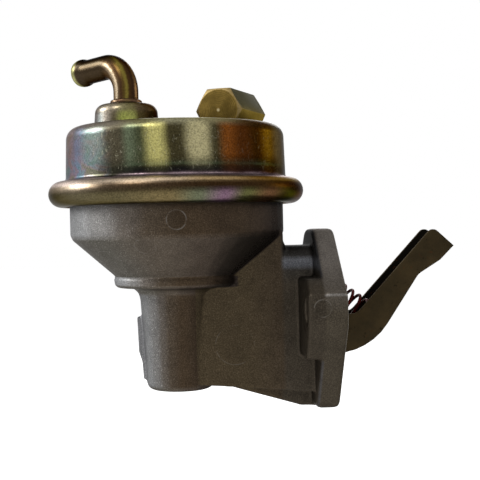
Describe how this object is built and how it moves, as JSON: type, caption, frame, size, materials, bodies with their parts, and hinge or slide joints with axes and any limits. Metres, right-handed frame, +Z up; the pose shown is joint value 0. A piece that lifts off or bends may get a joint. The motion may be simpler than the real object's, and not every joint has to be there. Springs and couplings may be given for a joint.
{
  "type": "mechanical fuel pump",
  "caption": "Mechanical engine fuel pump: die-cast body with an eared mounting flange, crimped steel cover, bent hose nipple, hexagon outlet and a sprung rocker arm.",
  "frame": {"origin": "on the mounting face, on the middle plane, 28 mm below the line between the two bolt holes, at the point of the mount mounting_face", "axes": "+X square out of the mounting face, towards the engine; +Z up, along the diaphragm axis; the diaphragm axis is 58 mm from the mounting face at x = -0.058"},
  "size_m": [0.1518, 0.0958, 0.1359],
  "materials": {
    "cast_aluminium": "as die cast, dull grey-brown",
    "yellow_zinc": "iridescent yellow passivated zinc, satin",
    "nipple_zinc": "pinkish gold passivated zinc",
    "fitting_zinc": "olive gold passivated zinc",
    "plain_steel": "plain",
    "spring_steel": "bright wire",
    "red_spring": "dark red",
    "arm_steel": "oiled dark steel with small rust spots",
    "valve_brass": "dull",
    "black_rubber": "matte",
    "valve_rubber": "matte",
    "diaphragm_cloth": "rubber-coated cloth",
    "fibre": "pressed fibre"
  },
  "bodies": {
    "pump": {"body_casting": "cast_aluminium", "top_cover": "yellow_zinc", "inlet_nipple": "nipple_zinc", "outlet_fitting": "fitting_zinc", "outlet_stub": "plain_steel", "outlet_chamber_cup": "plain_steel", "cover_seal": "black_rubber", "valve_plate": "plain_steel", "inlet_valve_cage": "valve_brass", "outlet_valve_cage": "valve_brass", "inlet_valve_spring": "spring_steel", "outlet_valve_spring": "spring_steel", "diaphragm": "diaphragm_cloth", "diaphragm_spring": "spring_steel", "rod_seal": "black_rubber", "seal_retainer": "plain_steel", "pivot_pin": "plain_steel", "thrust_washer_near": "plain_steel", "thrust_washer_far": "plain_steel", "link_spacer_near": "plain_steel", "link_spacer_far": "plain_steel", "arm_return_spring": "red_spring"},
    "arm": {"rocker_arm": "arm_steel"},
    "link": {"rocker_link": "arm_steel"},
    "rod": {"pull_rod": "plain_steel", "upper_diaphragm_plate": "plain_steel", "lower_diaphragm_plate": "plain_steel", "rod_foot_washer": "fibre"},
    "inlet_disc": {"inlet_valve_disc": "valve_rubber"},
    "outlet_disc": {"outlet_valve_disc": "valve_rubber"}
  },
  "joints": [
    {"name": "arm_pivot", "type": "hinge", "parent": "pump", "child": "arm", "pos_m": [-0.022, 0, 0.0165], "axis": [0, -1, 0], "range_deg": [0, 12], "stiffness_Nm_per_rad": 2.3, "springref_deg": -17.19, "deforming": ["arm_return_spring"]},
    {"name": "link_pivot", "type": "hinge", "parent": "pump", "child": "link", "pos_m": [-0.022, 0, 0.0165], "axis": [0, -1, 0], "range_deg": [0, 12]},
    {"name": "rod_slide", "type": "slide", "parent": "pump", "child": "rod", "axis": [0, 0, -1], "range_m": [0, 0.00754], "stiffness_N_per_m": 80, "springref_m": -0.01, "deforming": ["diaphragm", "diaphragm_spring"]},
    {"name": "inlet_valve_lift", "type": "slide", "parent": "pump", "child": "inlet_disc", "axis": [0, 0, -1], "range_m": [0, 0.0012], "stiffness_N_per_m": 30, "springref_m": -0.001, "deforming": ["inlet_valve_spring"]},
    {"name": "outlet_valve_lift", "type": "slide", "parent": "pump", "child": "outlet_disc", "axis": [0, 0, 1], "range_m": [0, 0.0012], "stiffness_N_per_m": 30, "springref_m": -0.001, "deforming": ["outlet_valve_spring"]}
  ],
  "couplings": [
    {"joint": "arm_pivot", "follows": "rod_slide", "rad_per_m": 27.778},
    {"joint": "link_pivot", "follows": "rod_slide", "rad_per_m": 27.778}
  ]
}
